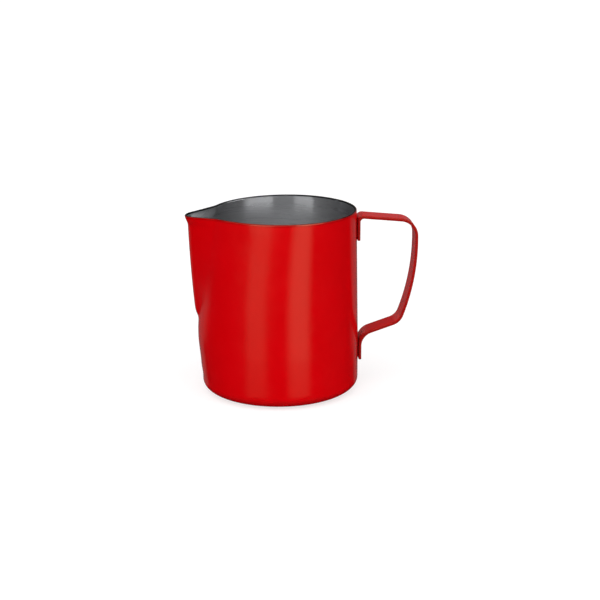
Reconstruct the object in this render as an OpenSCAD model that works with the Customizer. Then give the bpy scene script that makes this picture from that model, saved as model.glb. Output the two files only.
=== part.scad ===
// Milk frothing pitcher: one deep-drawn steel jug with a pressed pouring spout, a coat of
// colour over its outside, and a bent flat-strip handle spot-welded to its back.
// Millimetres. Origin at the centre of the standing face, +Z up, spout towards -X,
// handle towards +X, symmetric about the XZ plane.

/* [Body] */

// Height of the rim at the handle side
body_h = 87.3; // [86:0.1:90]
// Outside radius of the lower wall
body_r = 37.75; // [37:0.05:38.5]
// Outside radius at the rim
rim_r = 36.75; // [36.2:0.05:37.2]
// Height at which the wall starts to draw in towards the rim
taper_z = 24; // [20:1:30]
// Width of the rounded bottom corner
corner_w = 8.3; // [7:0.1:9]
// Height of the rounded bottom corner
corner_h = 5.3; // [4.5:0.1:6]
// Thickness of the steel sheet
sheet_t = 0.8; // [0.6:0.05:1]
// Thickness of the coat of colour
coat_t = 0.2; // [0.15:0.01:0.3]
// Bare cut edge left above the coat
bare_rim = 0.1; // [0.1:0.05:0.6]

/* [Spout] */

// Height of the blunt chin where the spout starts
chin_z = 35.7; // [34:0.1:37]
// Radius from the jug's axis to the ridge at the chin
chin_r = 38.7; // [38.4:0.05:38.9]
// Radius to the ridge just above the chin
brow_r = 40.35; // [40:0.05:40.6]
// Radius to the ridge where the lip starts
throat_r = 42.65; // [42:0.05:43.5]
// Height at which the lip starts to turn out
lip_z = 80.3; // [79:0.1:81.5]
// How far the lip turns out
lip_out = 1.25; // [0.6:0.05:1.5]
// Plan radius of the ridge
ridge_r = 8; // [7:0.5:9]
// Half angle between the two creases, seen from the axis
crease_a = 28; // [26:0.5:30]
// Width over which each crease is blended
crease_blend = 0.5; // [0.3:0.05:0.8]
// How far the rim dips at the tip
lip_dip = 2.2; // [1.5:0.1:3]
// How far the spout draws the wall in beside it
side_pull = 3.5; // [2.5:0.1:4]
// Bulge of the wall under the chin
chin_bulge = 1.3; // [0.5:0.1:1.6]
// Height of the middle of that bulge
bulge_z = 29; // [28:0.5:30]

/* [Handle] */

// Width of the strip
strip_w = 11.5; // [10:0.5:13]
// Thickness of the strip, over its coat
strip_t = 1.35; // [1:0.05:1.5]
// Broken edge along the strip
strip_edge = 0.25; // [0.1:0.05:0.4]
// Height of the upper tab's end
upper_tab_z = 72.25; // [71:0.05:73]
// Height of the lower tab's end
lower_tab_z = 13.65; // [12.5:0.05:14.5]
// Height of the top run's middle where it leaves the upper tab
top_run_z = 83.75; // [83.3:0.05:84.2]
// Fall of the top run, in degrees
top_run_fall = 5.25; // [3:0.25:7]
// Furthest reach of the grip's outer face
grip_x = 65.7; // [63:0.1:68]
// Height of that furthest point
grip_z = 71.5; // [69:0.5:73]
// Radius of the grip's outer face
grip_r = 104; // [95:1:115]
// Height of the lower run's middle where it would meet the lower tab
low_run_z = 25.8; // [25.3:0.05:26.5]
// Rise of the lower run, in degrees
low_run_rise = 19; // [16:0.5:22]
// Radius along the middle of the bend at the upper tab
bend_upper_tab = 2.3; // [1.8:0.1:3]
// Radius along the middle of the bend over the grip
bend_grip_top = 8; // [6:0.1:9]
// Radius along the middle of the bend under the grip
bend_grip_low = 7; // [5:0.1:9]
// Radius along the middle of the bend at the lower tab
bend_lower_tab = 7.4; // [6:0.1:8]

/* [Welds] */

// Diameter of each weld spot
weld_d = 3; // [2:0.1:3.2]
// Distance between the two weld spots of a tab
weld_pitch = 3.8; // [3.4:0.1:4]
// Gap between the steel wall and the upper tab, filled by the weld spots
upper_gap = 0.1; // [0.1:0.05:0.4]
// Gap between the steel wall and the lower tab, filled by the weld spots
lower_gap = 0.25; // [0.2:0.05:0.6]

/* [Hidden] */

steel_colour = [0.62, 0.62, 0.63];
coat_colour = [0.58, 0.01, 0.02];

// Heights and slopes that shape the spout.
brow_z = 41;
chin_slope = 0.45;
lip_h = 4.7;
settle_z = 44;
crease_start_z = 36;
crease_rise = 9;
tuck_depth = 0.7;
tuck_z = 6;
tuck_h = 7;
bulge_h = 19;
bulge_half_a = 60;
pull_from_a = 40;
pull_to_a = 125;
dip_half_a = 26;

// Angles of the grid's columns, from the spout round to the handle.
tip_angles = [for (a = [0 : 2 : 10]) a];
flank_angles = [for (a = [12 : 3 : 51]) a];
wall_angles = [for (a = [54 : 6 : 180]) a];
half_angles = concat(tip_angles, flank_angles, wall_angles);
half_n = len(half_angles) - 1;
columns = 2 * half_n;
angles = concat(half_angles, [for (i = [1 : half_n - 1]) -half_angles[half_n - i]]);

// The coat leaves the steel bare under each tab: two columns wide, between these heights.
low_bare_z = [lower_tab_z + 0.5, lower_tab_z + 7];
high_bare_z = [upper_tab_z + 1, upper_tab_z + 8.2];
coat_top_z = body_h - bare_rim;

// Rings of the grid. Up to 1 they run round the bottom corner, and from 1 to 2 up the wall.
corner_rings = [0, 0.2, 0.4, 0.6, 0.8, 1];
wall_levels = [
    9, low_bare_z[0], 18, low_bare_z[1], 26, 29.5, 32.5, 35, 37.2, 39.2, 41.5,
    45, 50, 56, 64, high_bare_z[0], 77, high_bare_z[1], 82.6, 84.8, coat_top_z, body_h
];
rings = concat(corner_rings, [for (z = wall_levels) 1 + (z - corner_h) / (body_h - corner_h)]);
ring_n = len(rings);
first_level = len(corner_rings);
coat_first = 1;
coat_last = ring_n - 2;
low_bare = [first_level + 1, first_level + 3];
high_bare = [first_level + 15, first_level + 17];

function smooth(t) = let (c = min(1, max(0, t))) c * c * (3 - 2 * c);
function hump(z, middle, reach) = abs(z - middle) < reach ? (1 + cos(180 * (z - middle) / reach)) / 2 : 0;
function smooth_max(a, b, k) = (a + b + sqrt((a - b) * (a - b) + k * k)) / 2;
function smooth_min(a, b, k) = (a + b - sqrt((a - b) * (a - b) + k * k)) / 2;

// Height and corner inset at place s on the profile.
function profile_z(s) = s < 1 ? corner_h * (1 - cos(90 * s)) : corner_h + (s - 1) * (body_h - corner_h);
function profile_inset(s) = s < 1 ? corner_w * (1 - sin(90 * s)) : 0;
function rim_dip(a) = lip_dip / (1 + (a / dip_half_a) * (a / dip_half_a));

// Radius of the plain wall at height z.
function plain_r(z) = body_r - (body_r - rim_r) * max(0, z - taper_z) / (body_h - taper_z);

// Radius of the wall at angle a from the spout, drawn in beside it and bulged below it.
function pull(z) = z > chin_z ? side_pull * pow((z - chin_z) / (body_h - chin_z), 2) : 0;
function pull_share(a) = 1 - smooth((a - pull_from_a) / (pull_to_a - pull_from_a));
function under_spout(z) = chin_bulge * hump(z, bulge_z, bulge_h) - tuck_depth * hump(z, tuck_z, tuck_h);
function under_share(a) = a < bulge_half_a ? pow(cos(90 * a / bulge_half_a), 2) : 0;
function wall_r(a, z) = plain_r(z) - pull(z) * pull_share(a) + under_spout(z) * under_share(a);

// Radius to the spout's ridge: a steep chin, a long bowed front and a turned-out lip.
function front_r(z) = let (u = (z - brow_z) / (lip_z - brow_z)) brow_r + (throat_r - brow_r) * u * (1.5 - u / 2);
function ridge(z) =
    smooth_min(chin_r + chin_slope * (z - chin_z), front_r(z), crease_blend)
    + lip_out * smooth((z - lip_z) / lip_h);

// Direction that each flat flank of the spout faces, so that it runs from the ridge to the crease.
function flank_a(z) =
    let (h = max(z, settle_z))
    let (crease = crease_a * (1 - exp(-(h - crease_start_z) / crease_rise)))
    let (wall = plain_r(h) - pull(h))
    let (across = wall * sin(crease))
    let (ahead = ridge(h) - ridge_r - wall * cos(crease))
    atan2(ahead, across) + asin(ridge_r / norm([ahead, across]));

// Radius of the spout at angle a: a round ridge, then a flat flank that falls away past its middle.
function spout_r(a, z) =
    let (centre = ridge(z) - ridge_r)
    let (face = flank_a(z))
    let (reach = centre * cos(face) + ridge_r)
    let (tangent = atan2(ridge_r * sin(face), centre + ridge_r * cos(face)))
    a < tangent ? centre * cos(a) + sqrt(ridge_r * ridge_r - pow(centre * sin(a), 2))
    : a < face ? reach / cos(a - face)
    : reach * cos(a - face);

function outer_r(a, z) =
    z > bulge_z ? smooth_max(spout_r(a, z), wall_r(a, z), crease_blend) : wall_r(a, z);

// Point of the jug's outside at column angle a and place s on the profile.
function outside(a, s) =
    let (level = profile_z(s))
    let (side = abs(a))
    let (z = level - rim_dip(side) * pow(level / body_h, 8))
    let (r = outer_r(side, z) - profile_inset(s))
    [-r * cos(a), -r * sin(a), z];

function outward(a, s) =
    let (round = outside(a + 0.4, s) - outside(a - 0.4, s))
    let (up = outside(a, min(2, s + 0.004)) - outside(a, max(0, s - 0.004)))
    let (n = cross(round, up))
    n / norm(n);

// The same place set a depth into the sheet, kept on the XZ plane at the ridge and the back.
function inside(a, s, depth) =
    let (p = outside(a, s) - depth * outward(a, s))
    a == 0 || a == 180 ? [p[0], 0, p[2]] : p;

function grid(first, last, depth) = [for (j = [first : last]) for (a = angles) inside(a, rings[j], depth)];

// Two triangles over each cell of a grid, their diagonals mirrored across the XZ plane.
function cell(p00, p01, p11, p10, i) =
    i < half_n ? [[p00, p10, p11], [p00, p11, p01]] : [[p00, p10, p01], [p01, p10, p11]];
function flipped(faces) = [for (f = faces) [f[0], f[2], f[1]]];

module body_shell() {
    n = ring_n * columns;
    // The standing face is bare, so the first ring isn't set back by the coat.
    steel_out = concat(grid(0, 0, 0), grid(1, ring_n - 1, coat_t));
    steel_in = grid(0, ring_n - 1, coat_t + sheet_t);
    walls = [
        for (j = [0 : ring_n - 2]) for (i = [0 : columns - 1])
            let (k = (i + 1) % columns)
            let (b = j * columns)
            let (t = b + columns)
            concat(
                cell(b + i, b + k, t + k, t + i, i),
                flipped(cell(n + b + i, n + b + k, n + t + k, n + t + i, i))
            )
    ];
    top = (ring_n - 1) * columns;
    rim = [
        for (i = [0 : columns - 1])
            let (k = (i + 1) % columns)
            cell(top + i, top + k, n + top + k, n + top + i, i)
    ];
    under = [[for (i = [0 : columns - 1]) i]];
    floor_face = [[for (i = [0 : columns - 1]) n + columns - 1 - i]];
    color(steel_colour)
        polyhedron(
            concat(steel_out, steel_in),
            concat([for (w = walls) each w], [for (r = rim) each r], under, floor_face),
            convexity = 6
        );
}

function coated(j, i) =
    let (behind = i == half_n - 1 || i == half_n)
    j >= coat_first && j < coat_last
    && !(behind && j >= low_bare[0] && j < low_bare[1])
    && !(behind && j >= high_bare[0] && j < high_bare[1]);

module body_coating() {
    n = (coat_last - coat_first + 1) * columns;
    coat_out = grid(coat_first, coat_last, 0);
    coat_in = grid(coat_first, coat_last, coat_t);
    faces = [
        for (j = [coat_first : coat_last - 1]) for (i = [0 : columns - 1])
            if (coated(j, i))
                let (k = (i + 1) % columns)
                let (before = (i + columns - 1) % columns)
                let (b = (j - coat_first) * columns)
                let (t = b + columns)
                concat(
                    cell(b + i, b + k, t + k, t + i, i),
                    flipped(cell(n + b + i, n + b + k, n + t + k, n + t + i, i)),
                    coated(j - 1, i) ? [] : cell(n + b + i, n + b + k, b + k, b + i, i),
                    coated(j + 1, i) ? [] : cell(t + i, t + k, n + t + k, n + t + i, i),
                    coated(j, before) ? [] : cell(n + b + i, b + i, t + i, n + t + i, i),
                    coated(j, k) ? [] : cell(b + k, n + b + k, n + t + k, t + k, i)
                )
    ];
    color(coat_colour)
        polyhedron(concat(coat_out, coat_in), [for (f = faces) each f], convexity = 6);
}

// The strip's middle line, in the XZ plane, from the upper tab's end to the lower tab's end.
// Each station is a point and the direction of travel there, in degrees.
upper_tab_x = plain_r(upper_tab_z) - coat_t + upper_gap + strip_t / 2;
lower_tab_x = body_r - coat_t + lower_gap + strip_t / 2;
grip_mid_r = grip_r - strip_t / 2;
grip_centre = [grip_x - grip_r, grip_z];
top_corner = [upper_tab_x, top_run_z];
low_corner = [lower_tab_x, low_run_z];
top_dir = [cos(top_run_fall), -sin(top_run_fall)];
low_dir = [cos(low_run_rise), sin(low_run_rise)];

// Centre of a bend of radius r that touches a run and the inside of the grip's arc.
function grip_bend(corner, dir, side, r) =
    let (from = corner + r * side - grip_centre)
    let (along = from * dir)
    corner + r * side + (sqrt(along * along - from * from + pow(grip_mid_r - r, 2)) - along) * dir;
function bearing(from, to) = atan2(to[1] - from[1], to[0] - from[0]);
function left_of(heading) = [-sin(heading), cos(heading)];

top_bend = grip_bend(top_corner, top_dir, -left_of(-top_run_fall), bend_grip_top);
low_bend = grip_bend(low_corner, low_dir, left_of(low_run_rise), bend_grip_low);
grip_from = bearing(grip_centre, top_bend) - 90;
grip_to = bearing(grip_centre, low_bend) - 90;
low_heading = low_run_rise - 180;
upper_bend = top_corner + bend_upper_tab * [1, -tan((90 + top_run_fall) / 2)];
lower_bend = low_corner + bend_lower_tab * [1, -tan((90 - low_run_rise) / 2)];

function arc(centre, r, from, to, steps) =
    [for (k = [0 : steps]) let (h = from + (to - from) * k / steps) [centre + r * left_of(h), h]];

grip_arc = arc(grip_centre, grip_mid_r, grip_from, grip_to, 12);
stations = concat(
    [[[upper_tab_x, upper_tab_z], 90]],
    arc(upper_bend, bend_upper_tab, 90, -top_run_fall, 12),
    arc(top_bend, bend_grip_top, -top_run_fall, grip_from, 12),
    [for (k = [1 : 11]) grip_arc[k]],
    arc(low_bend, bend_grip_low, grip_to, low_heading, 8),
    arc(lower_bend, -bend_lower_tab, low_heading, -90, 10),
    [[[lower_tab_x, lower_tab_z], -90]]
);

// Corners of the strip's section with their edges rounded: across the thickness, then the width.
strip_section = [
    for (q = [[1, 1, 0], [-1, 1, 90], [-1, -1, 180], [1, -1, 270]]) for (a = [0, 45, 90])
        [
            q[0] * (strip_t / 2 - strip_edge) + strip_edge * cos(q[2] + a),
            q[1] * (strip_w / 2 - strip_edge) + strip_edge * sin(q[2] + a)
        ]
];
section_n = len(strip_section);

module handle() {
    last = len(stations) - 1;
    points = [
        for (p = stations) for (c = strip_section)
            let (m = p[0] + c[0] * left_of(p[1]))
            [m[0], c[1], m[1]]
    ];
    sides = [
        for (j = [0 : last - 1]) for (i = [0 : section_n - 1])
            let (k = (i + 1) % section_n)
            let (b = j * section_n)
            let (t = b + section_n)
            each [[b + i, b + k, t + k], [b + i, t + k, t + i]]
    ];
    ends = [
        [for (i = [0 : section_n - 1]) section_n - 1 - i],
        [for (i = [0 : section_n - 1]) last * section_n + i]
    ];
    color(coat_colour)
        polyhedron(points, concat(sides, ends), convexity = 8);
}

// Two weld spots, one above the other, from the steel wall to a tab's inner face.
module weld_pair(middle_z, tab_x) {
    for (z = [middle_z - weld_pitch / 2, middle_z + weld_pitch / 2]) {
        wall = plain_r(z - weld_d / 2) - coat_t;
        translate([wall, 0, z])
            rotate([0, 90, 0])
                cylinder(h = tab_x - strip_t / 2 - wall, d = weld_d, $fn = 64);
    }
}

module upper_welds() {
    color(steel_colour)
        weld_pair((high_bare_z[0] + high_bare_z[1]) / 2, upper_tab_x);
}

module lower_welds() {
    color(steel_colour)
        weld_pair((low_bare_z[0] + low_bare_z[1]) / 2, lower_tab_x);
}

body_shell();
body_coating();
handle();
upper_welds();
lower_welds();
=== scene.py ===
import math
from functools import reduce

import bpy
import numpy as np
from mathutils import Matrix, Vector


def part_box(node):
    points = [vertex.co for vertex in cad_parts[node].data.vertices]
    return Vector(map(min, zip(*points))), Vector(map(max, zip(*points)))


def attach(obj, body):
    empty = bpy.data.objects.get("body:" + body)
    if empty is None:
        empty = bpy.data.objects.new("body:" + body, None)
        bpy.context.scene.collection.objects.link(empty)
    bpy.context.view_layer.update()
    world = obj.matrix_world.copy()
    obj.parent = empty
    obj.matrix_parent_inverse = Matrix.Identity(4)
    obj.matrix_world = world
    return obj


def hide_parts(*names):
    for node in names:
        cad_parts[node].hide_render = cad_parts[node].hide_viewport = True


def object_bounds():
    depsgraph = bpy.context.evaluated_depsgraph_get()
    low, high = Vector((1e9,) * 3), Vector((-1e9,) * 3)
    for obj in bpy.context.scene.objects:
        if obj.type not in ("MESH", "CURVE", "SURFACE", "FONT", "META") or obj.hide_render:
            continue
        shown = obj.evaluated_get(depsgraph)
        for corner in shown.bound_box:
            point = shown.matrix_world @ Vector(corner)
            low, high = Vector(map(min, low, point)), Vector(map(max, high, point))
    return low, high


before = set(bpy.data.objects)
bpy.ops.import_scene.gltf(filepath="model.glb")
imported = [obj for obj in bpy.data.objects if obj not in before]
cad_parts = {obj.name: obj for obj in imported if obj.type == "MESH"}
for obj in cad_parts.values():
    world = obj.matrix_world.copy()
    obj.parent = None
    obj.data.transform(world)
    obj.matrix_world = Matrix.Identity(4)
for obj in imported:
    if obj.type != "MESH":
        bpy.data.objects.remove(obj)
cad_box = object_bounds()

MM = 0.001

# Dimensions in millimetres, the same as the CAD model's.
BODY_H, BODY_R, RIM_R, TAPER_Z = 87.3, 37.75, 36.75, 24.0
CORNER_W, CORNER_H = 8.3, 5.3
SHEET_T, COAT_T, BARE_RIM = 0.8, 0.2, 0.1
CHIN_Z, CHIN_R, CHIN_SLOPE = 35.7, 38.7, 0.45
BROW_Z, BROW_R, THROAT_R = 41.0, 40.35, 42.65
LIP_Z, LIP_OUT, LIP_H = 80.3, 1.25, 4.7
LIP_DIP, DIP_HALF_A, DIP_POWER = 2.2, 26.0, 8
RIDGE_R, CREASE_A, CREASE_BLEND = 8.0, 28.0, 0.5
SETTLE_Z, CREASE_START_Z, CREASE_RISE = 44.0, 36.0, 9.0
SIDE_PULL, PULL_FROM_A, PULL_TO_A = 3.5, 40.0, 125.0
CHIN_BULGE, BULGE_Z, BULGE_H, BULGE_HALF_A = 1.3, 29.0, 19.0, 60.0
TUCK_DEPTH, TUCK_Z, TUCK_H = 0.7, 6.0, 7.0
STRIP_W, STRIP_T = 11.5, 1.35
UPPER_TAB_Z, LOWER_TAB_Z, UPPER_GAP, LOWER_GAP = 72.25, 13.65, 0.1, 0.25
TOP_RUN_Z, TOP_FALL, LOW_RUN_Z, LOW_RISE = 83.75, 5.25, 25.8, 19.0
GRIP_X, GRIP_Z, GRIP_R = 65.7, 71.5, 104.0
BEND_UPPER, BEND_TOP, BEND_LOW, BEND_LOWER = 2.3, 8.0, 7.0, 7.4


# ---------------------------------------------------------------- the jug's surface
def smooth(t):
    c = np.clip(t, 0, 1)
    return c * c * (3 - 2 * c)


def hump(z, middle, reach):
    return np.where(abs(z - middle) < reach, (1 + np.cos(np.pi * (z - middle) / reach)) / 2, 0)


def smooth_max(a, b, k):
    return (a + b + np.sqrt((a - b) ** 2 + k * k)) / 2


def smooth_min(a, b, k):
    return (a + b - np.sqrt((a - b) ** 2 + k * k)) / 2


def plain_r(z):
    return BODY_R - (BODY_R - RIM_R) * np.maximum(0, z - TAPER_Z) / (BODY_H - TAPER_Z)


def pull(z):
    return SIDE_PULL * (np.maximum(0, z - CHIN_Z) / (BODY_H - CHIN_Z)) ** 2


def wall_r(a, z):
    drawn_in = pull(z) * (1 - smooth((a - PULL_FROM_A) / (PULL_TO_A - PULL_FROM_A)))
    under = CHIN_BULGE * hump(z, BULGE_Z, BULGE_H) - TUCK_DEPTH * hump(z, TUCK_Z, TUCK_H)
    share = np.where(a < BULGE_HALF_A, np.cos(np.pi / 2 * np.minimum(a / BULGE_HALF_A, 1)) ** 2, 0)
    return plain_r(z) - drawn_in + under * share


def ridge(z):
    u = (z - BROW_Z) / (LIP_Z - BROW_Z)
    front = BROW_R + (THROAT_R - BROW_R) * u * (1.5 - u / 2)
    steep = CHIN_R + CHIN_SLOPE * (z - CHIN_Z)
    return smooth_min(steep, front, CREASE_BLEND) + LIP_OUT * smooth((z - LIP_Z) / LIP_H)


def flank_a(z):
    h = np.maximum(z, SETTLE_Z)
    crease = np.radians(CREASE_A * (1 - np.exp(-(h - CREASE_START_Z) / CREASE_RISE)))
    wall = plain_r(h) - pull(h)
    across = wall * np.sin(crease)
    ahead = ridge(h) - RIDGE_R - wall * np.cos(crease)
    return np.arctan2(ahead, across) + np.arcsin(RIDGE_R / np.hypot(ahead, across))


def spout_r(a, z):
    a = np.radians(a)
    centre = ridge(z) - RIDGE_R
    face = flank_a(z)
    reach = centre * np.cos(face) + RIDGE_R
    tangent = np.arctan2(RIDGE_R * np.sin(face), centre + RIDGE_R * np.cos(face))
    inner = np.sqrt(np.maximum(RIDGE_R ** 2 - (centre * np.sin(a)) ** 2, 0))
    on_ridge = centre * np.cos(a) + inner
    on_flank = reach / np.cos(np.minimum(a - face, 0))
    past_flank = reach * np.cos(a - face)
    return np.where(a < tangent, on_ridge, np.where(a < face, on_flank, past_flank))


def outer_r(a, z):
    wall = wall_r(a, z)
    return np.where(z > BULGE_Z, smooth_max(spout_r(a, z), wall, CREASE_BLEND), wall)


def outside(a, s):
    """Points of the jug's outside, at angles a from the spout and places s.

    A place runs from 0 to 1 round the bottom corner, and from 1 to 2 up the wall.
    """
    quarter = np.pi / 2 * np.minimum(s, 1)
    level = np.where(s < 1, CORNER_H * (1 - np.cos(quarter)), CORNER_H + (s - 1) * (BODY_H - CORNER_H))
    inset = np.where(s < 1, CORNER_W * (1 - np.sin(quarter)), 0)
    side = abs(a)
    z = level - LIP_DIP / (1 + (side / DIP_HALF_A) ** 2) * (level / BODY_H) ** DIP_POWER
    r = outer_r(side, z) - inset
    t = np.radians(a)
    return np.stack([-r * np.cos(t), -r * np.sin(t), z], axis=-1)


def outward(a, s):
    """Directions square to the outside, from the surface a small step away on each side."""
    da, ds = 0.2, 0.003
    across = outside(a + da, s) - outside(a - da, s)
    up = outside(a, np.minimum(2, s + ds)) - outside(a, np.maximum(0, s - ds))
    n = np.cross(across, up)
    return n / np.linalg.norm(n, axis=-1, keepdims=True)


def place_of(level):
    """The place of a height on the wall."""
    return 1 + (np.asarray(level, float) - CORNER_H) / (BODY_H - CORNER_H)


# Angles of the columns of points, from the spout to the back: closest together on the spout.
HALF = np.concatenate([
    np.arange(0, 12, 1.0), np.arange(12, 54, 1.5), np.arange(54, 174, 3.0), [174, 177, 180.0],
])
ANGLES = np.concatenate([HALF, -HALF[-2:0:-1]])
COLUMNS = len(ANGLES)
BACK = len(HALF) - 1


def grid(places, depth):
    """Rows of points over the jug, one row for each place, set in from the outside by depth.

    depth is one number, or one for each row.
    """
    a, s = np.meshgrid(ANGLES, places)
    d = np.broadcast_to(np.reshape(depth, (-1, 1)), a.shape)[..., None]
    return outside(a, s) - d * outward(a, s)


def build(name, points, faces):
    """A smooth-shaded piece on the root body, from points in millimetres."""
    mesh = bpy.data.meshes.new(name)
    mesh.from_pydata([tuple(p) for p in np.asarray(points) * MM], [], faces)
    mesh.validate()
    mesh.update()
    obj = bpy.data.objects.new(name, mesh)
    bpy.context.scene.collection.objects.link(obj)
    mesh.shade_smooth()
    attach(obj, "root")
    return obj


def skin(rows, closed=False, skip=None):
    """Quads over rows of points that run round the jug. closed joins the last row to the first."""
    faces = []
    last = rows if closed else rows - 1
    for j in range(last):
        b, t = j * COLUMNS, (j + 1) % rows * COLUMNS
        for i in range(COLUMNS):
            if skip is None or not skip(j, i):
                k = (i + 1) % COLUMNS
                faces.append((b + i, b + k, t + k, t + i))
    return faces


# Heights between which the coat is left off under each tab.
LOW_BARE = (LOWER_TAB_Z + 0.5, LOWER_TAB_Z + 7)
HIGH_BARE = (UPPER_TAB_Z + 1, UPPER_TAB_Z + 8.2)
corner_places = np.linspace(0, 1, 13)
wall_levels = np.unique(np.round(np.concatenate([
    np.linspace(CORNER_H, LOW_BARE[0], 7),
    np.linspace(*LOW_BARE, 5),
    np.linspace(LOW_BARE[1], SETTLE_Z, 24),
    np.linspace(SETTLE_Z, HIGH_BARE[0], 20),
    np.linspace(*HIGH_BARE, 8),
    np.linspace(HIGH_BARE[1], BODY_H - BARE_RIM, 10),
]), 4))
wall_places = place_of(wall_levels[1:])

# ---------------------------------------------------------------- steel body
EDGE_ROUND = 0.16
EDGE_SQUARENESS = 0.7
INNER_FLOOR_RINGS = (28, 24, 18, 10, 4)
BASE_RINGS = (29, 28, 24, 18, 10, 4)
rim_place = place_of(BODY_H - EDGE_ROUND)
body_places = np.concatenate([corner_places, wall_places, [float(rim_place)]])
steel_out_depth = np.full(len(body_places), COAT_T)
steel_out_depth[0] = 0
rim_a, rim_s = np.meshgrid(ANGLES, [float(rim_place)])
rim_n = outward(rim_a, rim_s)[0]
rim_outer = outside(rim_a, rim_s)[0] - COAT_T * rim_n
rim_middle = rim_outer - SHEET_T / 2 * rim_n
lift = np.array([0, 0, EDGE_ROUND])
rim_rows = []
for step in np.radians(np.arange(15, 180, 15)):
    c, s = math.cos(step), math.sin(step)
    out, up = math.copysign(abs(c) ** EDGE_SQUARENESS, c), s ** EDGE_SQUARENESS
    rim_rows.append(rim_middle + out * SHEET_T / 2 * rim_n + up * lift)
steel_in = grid(body_places[::-1], COAT_T + SHEET_T)
steel_rows = np.concatenate([grid(body_places, steel_out_depth), np.array(rim_rows), steel_in])
n_rows = len(steel_rows)
steel_points = steel_rows.reshape(-1, 3)
steel_faces = skin(n_rows)


def disc(points, faces, ring_start, z, inner_radii, up):
    """Closes a ring of points with smaller rings and a middle point, flat at height z."""
    ring = points[ring_start:ring_start + COLUMNS]
    points = [points]
    previous = ring_start
    total = len(points[0])
    radius = np.linalg.norm(ring[:, :2], axis=1, keepdims=True)
    for r in inner_radii:
        flat = np.concatenate([ring[:, :2] / radius * r, np.full((COLUMNS, 1), z)], axis=1)
        points.append(flat)
        for i in range(COLUMNS):
            k = (i + 1) % COLUMNS
            quad = (previous + i, previous + k, total + k, total + i)
            faces.append(quad if up else quad[::-1])
        previous = total
        total += COLUMNS
    points.append(np.array([[0, 0, z]]))
    for i in range(COLUMNS):
        k = (i + 1) % COLUMNS
        tri = (previous + i, previous + k, total)
        faces.append(tri if up else tri[::-1])
    return np.concatenate(points)


floor_start = (n_rows - 1) * COLUMNS
floor_z = float(steel_points[floor_start][2])
steel_points = disc(steel_points, steel_faces, floor_start, floor_z, INNER_FLOOR_RINGS, True)
steel_points = disc(steel_points, steel_faces, 0, 0.0, BASE_RINGS, False)
shell = build("jug_shell", steel_points, steel_faces)
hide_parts("body_shell")

# ---------------------------------------------------------------- coat of colour
COAT_EDGE = 0.25
COAT_START = 0.2
TOP_FEATHER, FOOT_FEATHER = (0.04, 0.15), 0.12
coat_top = BODY_H - BARE_RIM
coat_places = np.unique(np.concatenate([
    [COAT_START], corner_places[corner_places > COAT_START + 0.01], wall_places[:-1],
    place_of([coat_top - COAT_EDGE, coat_top - COAT_EDGE / 2, coat_top]),
]))
# The coat thins towards its top edge and its foot.
feather = np.zeros(len(coat_places))
feather[-2:] = TOP_FEATHER
feather[0] = FOOT_FEATHER
coat_rows = np.concatenate([grid(coat_places, feather), grid(coat_places[::-1], COAT_T)])
n_coat = len(coat_places)


def under_tab(j, i):
    """True where the coat leaves the steel bare under a tab."""
    if j >= 2 * n_coat - 1 or j == n_coat - 1:
        return False
    row = j if j < n_coat else 2 * n_coat - 2 - j
    middle = (coat_places[row] + coat_places[row + 1]) / 2
    bare = any(place_of(lo) < middle < place_of(hi) for lo, hi in (LOW_BARE, HIGH_BARE))
    return bare and BACK - 2 <= i < BACK + 2


coat_faces = skin(2 * n_coat, closed=True, skip=under_tab)
edges = {}
for f in coat_faces:
    for p, q in zip(f, f[1:] + f[:1]):
        edges[(p, q)] = True
n_grid = n_coat * COLUMNS


def other_side(v):
    """The point on the coat's other face that lies across its thickness from point v."""
    row, column = divmod(v, COLUMNS)
    return (2 * n_coat - 1 - row) * COLUMNS + column


# Walls round the two openings under the tabs.
for p, q in list(edges):
    if (q, p) not in edges and p < n_grid and q < n_grid:
        coat_faces.append((q, p, other_side(p), other_side(q)))
coat = build("jug_coat", coat_rows.reshape(-1, 3), coat_faces)
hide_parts("body_coating")


# ---------------------------------------------------------------- handle
def left_of(heading):
    """Unit vector square to a heading in degrees, to its left."""
    h = np.radians(heading)
    return np.stack([-np.sin(h), np.cos(h)], axis=-1)


def bearing(start, end):
    return math.degrees(math.atan2(end[1] - start[1], end[0] - start[0]))


upper_x = float(plain_r(np.array(UPPER_TAB_Z))) - COAT_T + UPPER_GAP + STRIP_T / 2
lower_x = BODY_R - COAT_T + LOWER_GAP + STRIP_T / 2
grip_mid = GRIP_R - STRIP_T / 2
grip_centre = np.array([GRIP_X - GRIP_R, GRIP_Z])
top_corner, low_corner = np.array([upper_x, TOP_RUN_Z]), np.array([lower_x, LOW_RUN_Z])
top_dir = np.array([math.cos(math.radians(TOP_FALL)), -math.sin(math.radians(TOP_FALL))])
low_dir = np.array([math.cos(math.radians(LOW_RISE)), math.sin(math.radians(LOW_RISE))])


def grip_bend(corner, way, side, r):
    """Centre of a bend of radius r that touches a run and the inside of the grip's arc."""
    start = corner + r * side - grip_centre
    along = start @ way
    reach = math.sqrt(along ** 2 - start @ start + (grip_mid - r) ** 2) - along
    return corner + r * side + reach * way


top_bend = grip_bend(top_corner, top_dir, -left_of(-TOP_FALL), BEND_TOP)
low_bend = grip_bend(low_corner, low_dir, left_of(LOW_RISE), BEND_LOW)
grip_from = bearing(grip_centre, top_bend) - 90
grip_to = bearing(grip_centre, low_bend) - 90
low_heading = LOW_RISE - 180
upper_bend = top_corner + BEND_UPPER * np.array([1, -math.tan(math.radians(90 + TOP_FALL) / 2)])
lower_bend = low_corner + BEND_LOWER * np.array([1, -math.tan(math.radians(90 - LOW_RISE) / 2)])


# A station is a point on the strip's middle line, as (x, z), and the heading there in degrees.
def arc(centre, r, start, end, steps):
    return [(centre + r * left_of(h), h) for h in np.linspace(start, end, steps + 1)]


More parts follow.
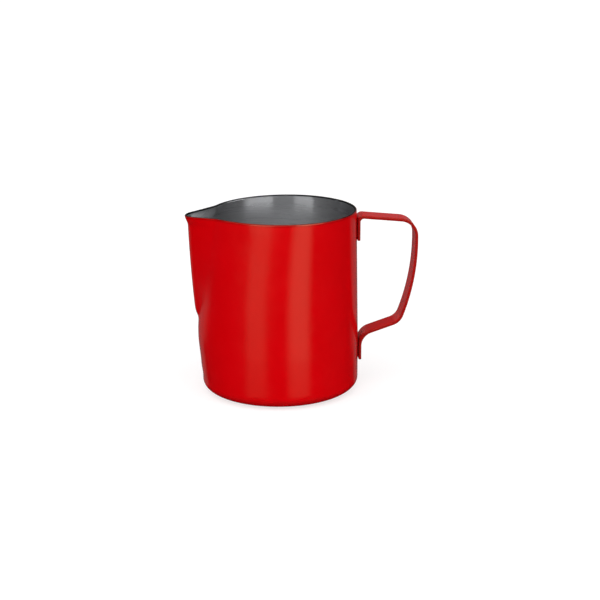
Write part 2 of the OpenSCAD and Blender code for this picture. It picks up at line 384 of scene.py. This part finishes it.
def run(start, end, steps):
    """Stations strictly between two others, so that long straight stretches have some too."""
    return [((1 - t) * start[0] + t * end[0], start[1]) for t in np.linspace(0, 1, steps + 2)[1:-1]]


END_ROUND = 0.35
bends = [
    arc(upper_bend, BEND_UPPER, 90, -TOP_FALL, 20),
    arc(top_bend, BEND_TOP, -TOP_FALL, grip_from, 24),
    arc(grip_centre, grip_mid, grip_from, grip_to, 28)[1:-1],
    arc(low_bend, BEND_LOW, grip_to, low_heading, 16),
    arc(lower_bend, -BEND_LOWER, low_heading, -90, 20),
]
upper_end = (np.array([upper_x, UPPER_TAB_Z]), 90)
lower_end = (np.array([lower_x, LOWER_TAB_Z]), -90)
stations = [upper_end] + run(upper_end, bends[0][0], 4) + bends[0] + run(bends[0][-1], bends[1][0], 8)
stations += bends[1] + bends[2] + bends[3] + run(bends[3][-1], bends[4][0], 8) + bends[4]
stations += run(bends[4][-1], lower_end, 4) + [lower_end]

STRIP_EDGE = 0.25
FLAT_STEPS = (0.1, 0.3, 0.5, 0.7, 0.9)
LONG_SIDE = 4


def strip_section(shrink):
    """Corners of the strip's section, its edges rounded, drawn in by shrink."""
    points = []
    half_t, half_w = STRIP_T / 2 - shrink, STRIP_W / 2 - shrink
    r = min(STRIP_EDGE, half_t * 0.95)
    for x, y, turn in ((1, 1, 0), (-1, 1, 90), (-1, -1, 180), (1, -1, 270)):
        for step in np.linspace(0, 90, 7):
            t = math.radians(turn + step)
            points.append((x * (half_t - r) + r * math.cos(t), y * (half_w - r) + r * math.sin(t)))
    flats = []
    for j, p in enumerate(points):
        flats.append(p)
        q = points[(j + 1) % len(points)]
        if math.dist(p, q) > LONG_SIDE:
            flats += [tuple(np.add(p, np.multiply(t, np.subtract(q, p)))) for t in FLAT_STEPS]
    return flats


def section_at(station, shrink, shift):
    """The section at a station, drawn in by shrink and moved along by shift."""
    (x, z), heading = station
    n = left_of(heading)
    h = math.radians(heading)
    x, z = x + shift * math.cos(h), z + shift * math.sin(h)
    return [(x + u * n[0], v, z + u * n[1]) for u, v in strip_section(shrink)]


def rounded_end(station, turns, way):
    """Sections that round off one end of the strip. way is 1 at its start and -1 at its end."""
    shapes = []
    for turn in np.radians(turns):
        shrink = END_ROUND * (1 - math.sin(turn))
        shapes.append(section_at(station, shrink, way * END_ROUND * (1 - math.cos(turn))))
    return shapes


END_TURNS = (8, 30, 60)
after_start = (stations[0][0] + [0, END_ROUND], 90)
before_end = (stations[-1][0] + [0, END_ROUND], -90)
sections = rounded_end(stations[0], END_TURNS, 1)
sections += [section_at(s, 0, 0) for s in [after_start] + stations[1:-1] + [before_end]]
sections += rounded_end(stations[-1], END_TURNS[::-1], -1)
ring = len(sections[0])
handle_faces = []
for j in range(len(sections) - 1):
    for i in range(ring):
        k = (i + 1) % ring
        handle_faces.append((j * ring + i, j * ring + k, (j + 1) * ring + k, (j + 1) * ring + i))
handle_faces.append(tuple(range(ring - 1, -1, -1)))
handle_faces.append(tuple((len(sections) - 1) * ring + i for i in range(ring)))
handle_points = np.array(sections).reshape(-1, 3)
handle_points[:, 0] = np.minimum(handle_points[:, 0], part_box("handle")[1][0] / MM)
handle = build("handle_strip", handle_points, handle_faces)
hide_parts("handle")


# ---------------------------------------------------------------- materials
class Nodes:
    """Short hands for building a node tree."""

    def __init__(self, tree):
        self.tree = tree

    def add(self, kind, **values):
        node = self.tree.nodes.new(kind)
        for key, value in values.items():
            if key in node.inputs:
                node.inputs[key].default_value = value
            else:
                setattr(node, key, value)
        return node

    def link(self, source, target):
        self.tree.links.new(source, target)

    def math(self, operation, a, b=None):
        node = self.add("ShaderNodeMath", operation=operation)
        for socket, value in zip(node.inputs, (a, b)):
            if value is None:
                continue
            if isinstance(value, (int, float)):
                socket.default_value = value
            else:
                self.link(value, socket)
        return node.outputs[0]

    def plus(self, *terms):
        return reduce(lambda a, b: self.math("ADD", a, b), terms)

    def times(self, *factors):
        return reduce(lambda a, b: self.math("MULTIPLY", a, b), factors)

    def rest(self, value):
        """One less the value."""
        return self.math("SUBTRACT", 1.0, value)

    def step(self, value, start, end):
        """0 up to start, then smoothly up to 1 at end."""
        node = self.add("ShaderNodeMapRange", interpolation_type="SMOOTHSTEP")
        self.link(value, node.inputs["Value"])
        node.inputs["From Min"].default_value = start
        node.inputs["From Max"].default_value = end
        return node.outputs["Result"]

    def scale(self, value, low, high, from_low=0.0, from_high=1.0):
        """low at from_low and below, high at from_high and above, in a straight line between."""
        node = self.add("ShaderNodeMapRange")
        self.link(value, node.inputs["Value"])
        node.inputs["From Min"].default_value = from_low
        node.inputs["From Max"].default_value = from_high
        node.inputs["To Min"].default_value = low
        node.inputs["To Max"].default_value = high
        return node.outputs["Result"]

    def axes(self, vector):
        node = self.add("ShaderNodeSeparateXYZ")
        self.link(vector, node.inputs[0])
        return node.outputs

    def object_place(self):
        return self.add("ShaderNodeTexCoord").outputs["Object"]

    def noise(self, vector, scale, detail=3, rough=0.5):
        node = self.add("ShaderNodeTexNoise", Scale=scale, Detail=detail, Roughness=rough)
        self.link(vector, node.inputs["Vector"])
        return node.outputs["Fac"]

    def ramp(self, value, stops):
        node = self.add("ShaderNodeValToRGB")
        self.link(value, node.inputs["Fac"])
        for element, (at, colour) in zip(node.color_ramp.elements, stops):
            element.position = at
            element.color = (*colour, 1)
        return node.outputs["Color"]

    def tint(self, colour, share, level):
        """colour, darkened to level where share is 1."""
        node = self.add("ShaderNodeMix", data_type="RGBA", blend_type="MULTIPLY")
        a, b, result = node.inputs[6], node.inputs[7], node.outputs[2]
        node.inputs["Factor"].default_value = 1.0
        self.link(colour, a)
        self.link(self.ramp(share, [(0.0, (1.0,) * 3), (1.0, (level,) * 3)]), b)
        return result

    def bump(self, height, distance, normal=None):
        node = self.add("ShaderNodeBump", Distance=distance)
        node.inputs["Strength"].default_value = 1.0
        self.link(height, node.inputs["Height"])
        if normal:
            self.link(normal, node.inputs["Normal"])
        return node.outputs["Normal"]


class Material(Nodes):
    """A material's node tree, with its Principled shader at hand."""

    def __init__(self, name):
        self.material = bpy.data.materials.new(name)
        self.material.use_nodes = True
        super().__init__(self.material.node_tree)
        self.shader = self.tree.nodes["Principled BSDF"]

    def set(self, **values):
        """Sets the shader's own sockets. An underscore in a name stands for a space."""
        for key, value in values.items():
            self.shader.inputs[key.replace("_", " ")].default_value = value

    def feed(self, socket, source):
        self.link(source, self.shader.inputs[socket])


# Noise is ramped between these two values, which hold most of its range.
NOISE_LOW, NOISE_HIGH = 0.3, 0.7


def below_rim(m, x, y, z):
    """Depth below the rim in metres, following the rim's dip at the spout."""
    angle = m.math("ARCTAN2", y, m.times(x, -1.0))
    turn = m.math("DIVIDE", angle, math.radians(DIP_HALF_A))
    dip = m.math("DIVIDE", LIP_DIP * MM, m.plus(m.times(turn, turn), 1.0))
    return m.math("SUBTRACT", m.math("SUBTRACT", BODY_H * MM, dip), z)


def strip_edge_painted_shade(m, x, y, z):
    """Painted shade on the handle strip's edges: 1 on the narrow long faces, 0 on the wide faces."""
    return m.scale(m.math("ABSOLUTE", y), 0.0, 1.0, 0.0054, 0.0056)


def coat_rim_painted_shade(m, x, y, z):
    """Painted shade at the coat's top edge: 1 at the edge, falling to 0 a little over a millimetre below."""
    return m.scale(below_rim(m, x, y, z), 1.0, 0.0, 0.0002, 0.0014)


def red_coat(name, deep, bright, roughness, gloss, painted_shade_share, painted_shade_level):
    """Semi-gloss polymer coat: near-even red with a faint mottle and orange peel.

    The last two arguments paint shade: a function that says where the coat is darkened, and the level it is
    darkened to there.
    """
    m = Material(name)
    place = m.object_place()
    mottle = m.ramp(m.noise(place, 55, 4, 0.55), [(NOISE_LOW, deep), (NOISE_HIGH, bright)])
    # Painted shade: the red is darkened where the shade function is 1.
    m.feed("Base Color", m.tint(mottle, painted_shade_share(m, *m.axes(place)), painted_shade_level))
    patches = m.noise(place, 140, 3, 0.6)
    m.feed("Roughness", m.scale(patches, roughness - 0.03, roughness + 0.04, NOISE_LOW, NOISE_HIGH))
    peel = m.bump(m.noise(place, 900, 2, 0.4), 0.000003)
    m.feed("Normal", m.bump(m.noise(place, 5200, 2, 0.5), 0.0000004, peel))
    m.set(IOR=1.5, Specular_IOR_Level=gloss, Specular_Tint=(1.0, 1.0, 0.6, 1.0))
    return m.material


# Brush lines: cells of noise to a metre, round the jug and up it.
FINE_LINES = (12.0, 5200.0)
WIDE_LINES = (9.0, 700.0)
FINE_SHARE = 0.6


def brushed_steel(name, low, high, roughness):
    """Satin stainless steel, brushed round the jug's axis, its rim edge rougher and darkened with painted
    shade.
    """
    m = Material(name)
    x, y, z = m.axes(m.object_place())
    radius = m.math("SQRT", m.plus(m.times(x, x), m.times(y, y)))
    # Up the wall and in over the floor, so that the lines run round on both.
    run_up = m.plus(radius, z)

    def lines(cells, detail):
        around, up = cells
        node = m.add("ShaderNodeCombineXYZ")
        for socket, value in zip(node.inputs, (m.times(x, around), m.times(y, around), m.times(run_up, up))):
            m.link(value, socket)
        return m.noise(node.outputs[0], 1.0, detail, 0.6)

    brush = m.plus(m.times(lines(FINE_LINES, 2), FINE_SHARE), m.times(lines(WIDE_LINES, 3), 1 - FINE_SHARE))
    # Painted shade: the rim's top edge is darkened to 0.15 of its colour; it is also made rougher.
    rough_shaded_rim = m.scale(below_rim(m, x, y, z), 1.0, 0.0, 0.0004, 0.0009)
    m.feed("Base Color", m.tint(m.ramp(brush, [(NOISE_LOW, low), (NOISE_HIGH, high)]), rough_shaded_rim, 0.15))
    satin = m.scale(brush, roughness - 0.015, roughness + 0.015, NOISE_LOW, NOISE_HIGH)
    m.feed("Roughness", m.math("MAXIMUM", satin, m.times(rough_shaded_rim, 0.6)))
    m.feed("Normal", m.bump(brush, 0.0000006))
    m.feed("Tangent", m.add("ShaderNodeTangent", direction_type="RADIAL", axis="Z").outputs[0])
    m.set(Metallic=1, Anisotropic=1.0, Anisotropic_Rotation=0.25)
    return m.material


def weld_metal(name):
    """Dull rippled weld metal."""
    m = Material(name)
    ripple = m.noise(m.object_place(), 1500, 4, 0.6)
    m.feed("Base Color", m.ramp(ripple, [(NOISE_LOW, (0.20, 0.18, 0.16)), (NOISE_HIGH, (0.42, 0.40, 0.38))]))
    m.feed("Roughness", m.scale(ripple, 0.35, 0.6, NOISE_LOW, NOISE_HIGH))
    m.feed("Normal", m.bump(ripple, 0.00005))
    m.set(Metallic=1)
    return m.material


# Painted shade darkens the body coat towards its top edge.
coat.data.materials.append(red_coat(
    "red_body_coat", deep=(0.555, 0.0, 0.002), bright=(0.585, 0.0, 0.0025),
    roughness=0.15, gloss=0.5, painted_shade_share=coat_rim_painted_shade, painted_shade_level=0.5,
))
# Painted shade darkens the handle coat on the strip's narrow faces.
handle.data.materials.append(red_coat(
    "red_handle_coat", deep=(0.515, 0.0, 0.002), bright=(0.565, 0.0, 0.004),
    roughness=0.24, gloss=0.38, painted_shade_share=strip_edge_painted_shade, painted_shade_level=0.58,
))
shell.data.materials.append(brushed_steel(
    "brushed_steel", low=(0.575, 0.58, 0.595), high=(0.625, 0.63, 0.65), roughness=0.28,
))
weld = weld_metal("weld_metal")
for name in ("upper_welds", "lower_welds"):
    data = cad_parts[name].data
    data.materials.clear()
    data.materials.append(weld)

# ---------------------------------------------------------------- floor, light and camera
# The floor lies just under the standing face, so that the two don't share a plane.
FLOOR_Z = cad_box[0][2] - 0.00002
FLOOR_HALF = 6.0
FLOOR_GLOW = 0.68

# Broad lights: azimuth (0 in front, 90 on the right) and elevation, level, and spread.
SUNS = {
    "front_fill": (-25, 25, 0.08, 80),
    "left_fill": (-42, 20, 0.225, 90),
    "right_fill": (100, 20, 0.14, 110),
    "back_fill": (-165, 15, 0.45, 110),
    "top_fill": (0, 90, 0.17, 100),
    "under_fill": (0, -90, 0.35, 120),
}

# Softboxes and ceiling lights of the room: azimuth from and to, softness of both ends, and level.
LOW_BOXES = ((-51, -23, 7, 0.42), (10, 40, 7, 0.82))
HIGH_BOXES = ((-57, -21, 2, 4.2), (16, 61, 2, 8.5), (-57, -46, 2, 0.8), (50, 61, 2, 3.0))
CEILING_LIGHTS = ((-60, 55, 20, 0.5), (50, 61, 2, 0.7))
CEILING_LEVEL = 0.9
BACK_LEVEL, BACK_RISE = 0.13, 0.09
ROOM_LEVEL = 0.004


def stage_floor():
    """A pale sheet under the jug that doesn't show in the coat's gloss, light the jug or shade it."""
    mesh = bpy.data.meshes.new("floor")
    corners = [(x * FLOOR_HALF, y * FLOOR_HALF, FLOOR_Z) for x, y in ((-1, -1), (1, -1), (1, 1), (-1, 1))]
    mesh.from_pydata(corners, [], [(0, 1, 2, 3)])
    obj = bpy.data.objects.new("floor", mesh)
    bpy.context.scene.collection.objects.link(obj)
    m = Material("floor_paper")
    grain = m.noise(m.object_place(), 400, 2)
    m.feed("Base Color", m.ramp(grain, [(NOISE_LOW, (0.34,) * 3), (NOISE_HIGH, (0.36,) * 3)]))
    m.set(Roughness=0.9, Specular_IOR_Level=0.0, Emission_Color=(1, 1, 1, 1), Emission_Strength=FLOOR_GLOW)
    mesh.materials.append(m.material)
    obj.visible_glossy = False
    obj.visible_diffuse = False
    obj.visible_shadow = False


def soft_sun(name, azimuth, elevation, level, spread):
    """Broad light for the matt part of each surface only."""
    data = bpy.data.lights.new(name, "SUN")
    data.energy = level * math.pi
    data.angle = math.radians(spread)
    obj = bpy.data.objects.new(name, data)
    bpy.context.scene.collection.objects.link(obj)
    a, e = math.radians(azimuth), math.radians(elevation)
    towards = Vector((math.sin(a) * math.cos(e), -math.cos(a) * math.cos(e), math.sin(e)))
    obj.rotation_euler = towards.to_track_quat("Z", "Y").to_euler()
    obj.visible_glossy = False


def studio_world():
    """A dim room with two tall softboxes in front, a paler back and a pale ceiling.

    It is laid out by azimuth in degrees and by z, the sine of the height. The camera sees plain white.
    """
    world = bpy.data.worlds.new("studio")
    bpy.context.scene.world = world
    world.use_nodes = True
    n = Nodes(world.node_tree)
    n.tree.nodes.clear()
    x, y, z = n.axes(n.add("ShaderNodeTexCoord").outputs["Generated"])
    azimuth = n.times(n.math("ARCTAN2", x, n.times(y, -1.0)), 180 / math.pi)
    turned = n.math("ABSOLUTE", azimuth)

    def band(start, end, soft, level):
        rise = n.step(azimuth, start - soft, start + soft)
        fall = n.step(azimuth, end - soft, end + soft)
        return n.times(n.math("SUBTRACT", rise, fall), level)

    def bands(rows):
        return n.plus(*[band(*row) for row in rows])

    behind = n.step(turned, 117, 135)
    in_front = n.rest(behind)
    # The low boxes show in the coat, and the high ones, just above the horizon, inside the jug.
    low_reach = n.times(n.step(z, -0.39, -0.26), n.rest(n.step(z, -0.1, 0.05)))
    high_reach = n.times(n.step(z, 0.02, 0.07), n.rest(n.step(z, 0.06, 0.22)))
    low_boxes = n.times(bands(LOW_BOXES), low_reach)
    high_boxes = n.times(bands(HIGH_BOXES), high_reach, in_front)
    # The back is paler above the horizon, darker again higher up, and dark near the ground.
    back_level = n.plus(n.times(n.step(z, -0.1, 0.1), BACK_RISE), BACK_LEVEL)
    back_top = n.rest(n.times(n.step(z, 0.18, 0.32), 0.92))
    back_foot = n.step(n.plus(z, n.times(n.step(turned, 134, 148), 0.09)), -0.32, -0.27)
    back = n.times(back_level, back_top, behind, back_foot)
    # The ceiling is darker at the sides.
    sides = n.rest(n.times(n.step(turned, 92, 115), 0.9))
    ceiling = n.times(n.plus(bands(CEILING_LIGHTS), CEILING_LEVEL), sides, n.step(z, 0.08, 0.35), in_front)
    level = n.plus(low_boxes, high_boxes, back, ceiling, ROOM_LEVEL)
    by_camera = n.add("ShaderNodeLightPath").outputs["Is Camera Ray"]
    seen = n.plus(n.times(by_camera, n.rest(level)), level)
    background = n.add("ShaderNodeBackground", Color=(1, 1, 1, 1))
    n.link(seen, background.inputs["Strength"])
    n.link(background.outputs[0], n.add("ShaderNodeOutputWorld").inputs["Surface"])


def stage_camera():
    """A long lens 650 mm away, 4 degrees round from square-on and 15.5 above the horizon."""
    azimuth, elevation, roll = math.radians(-4.0), math.radians(15.53), math.radians(-0.18)
    distance, across, height = 0.650, 0.00997, 0.0427
    right = Vector((math.cos(azimuth), math.sin(azimuth), 0))
    ahead = Vector((-math.sin(azimuth), math.cos(azimuth), 0))
    back = -math.cos(elevation) * ahead + Vector((0, 0, math.sin(elevation)))
    up = math.sin(elevation) * ahead + Vector((0, 0, math.cos(elevation)))
    target = across * right + Vector((0, 0, height))
    rolled_right = math.cos(roll) * right + math.sin(roll) * up
    rolled_up = math.cos(roll) * up - math.sin(roll) * right
    place = target + distance * back
    data = bpy.data.cameras.new("camera")
    data.sensor_width = 36
    data.lens = 81.48
    data.clip_start = 0.01
    camera = bpy.data.objects.new("camera", data)
    bpy.context.scene.collection.objects.link(camera)
    columns = (rolled_right, rolled_up, back, place)
    camera.matrix_world = Matrix([[c[row] for c in columns] for row in range(3)] + [[0, 0, 0, 1]])
    bpy.context.scene.camera = camera


stage_floor()
for name, sun in SUNS.items():
    soft_sun(name, *sun)
studio_world()
stage_camera()
bpy.context.scene.view_settings.view_transform = "Standard"
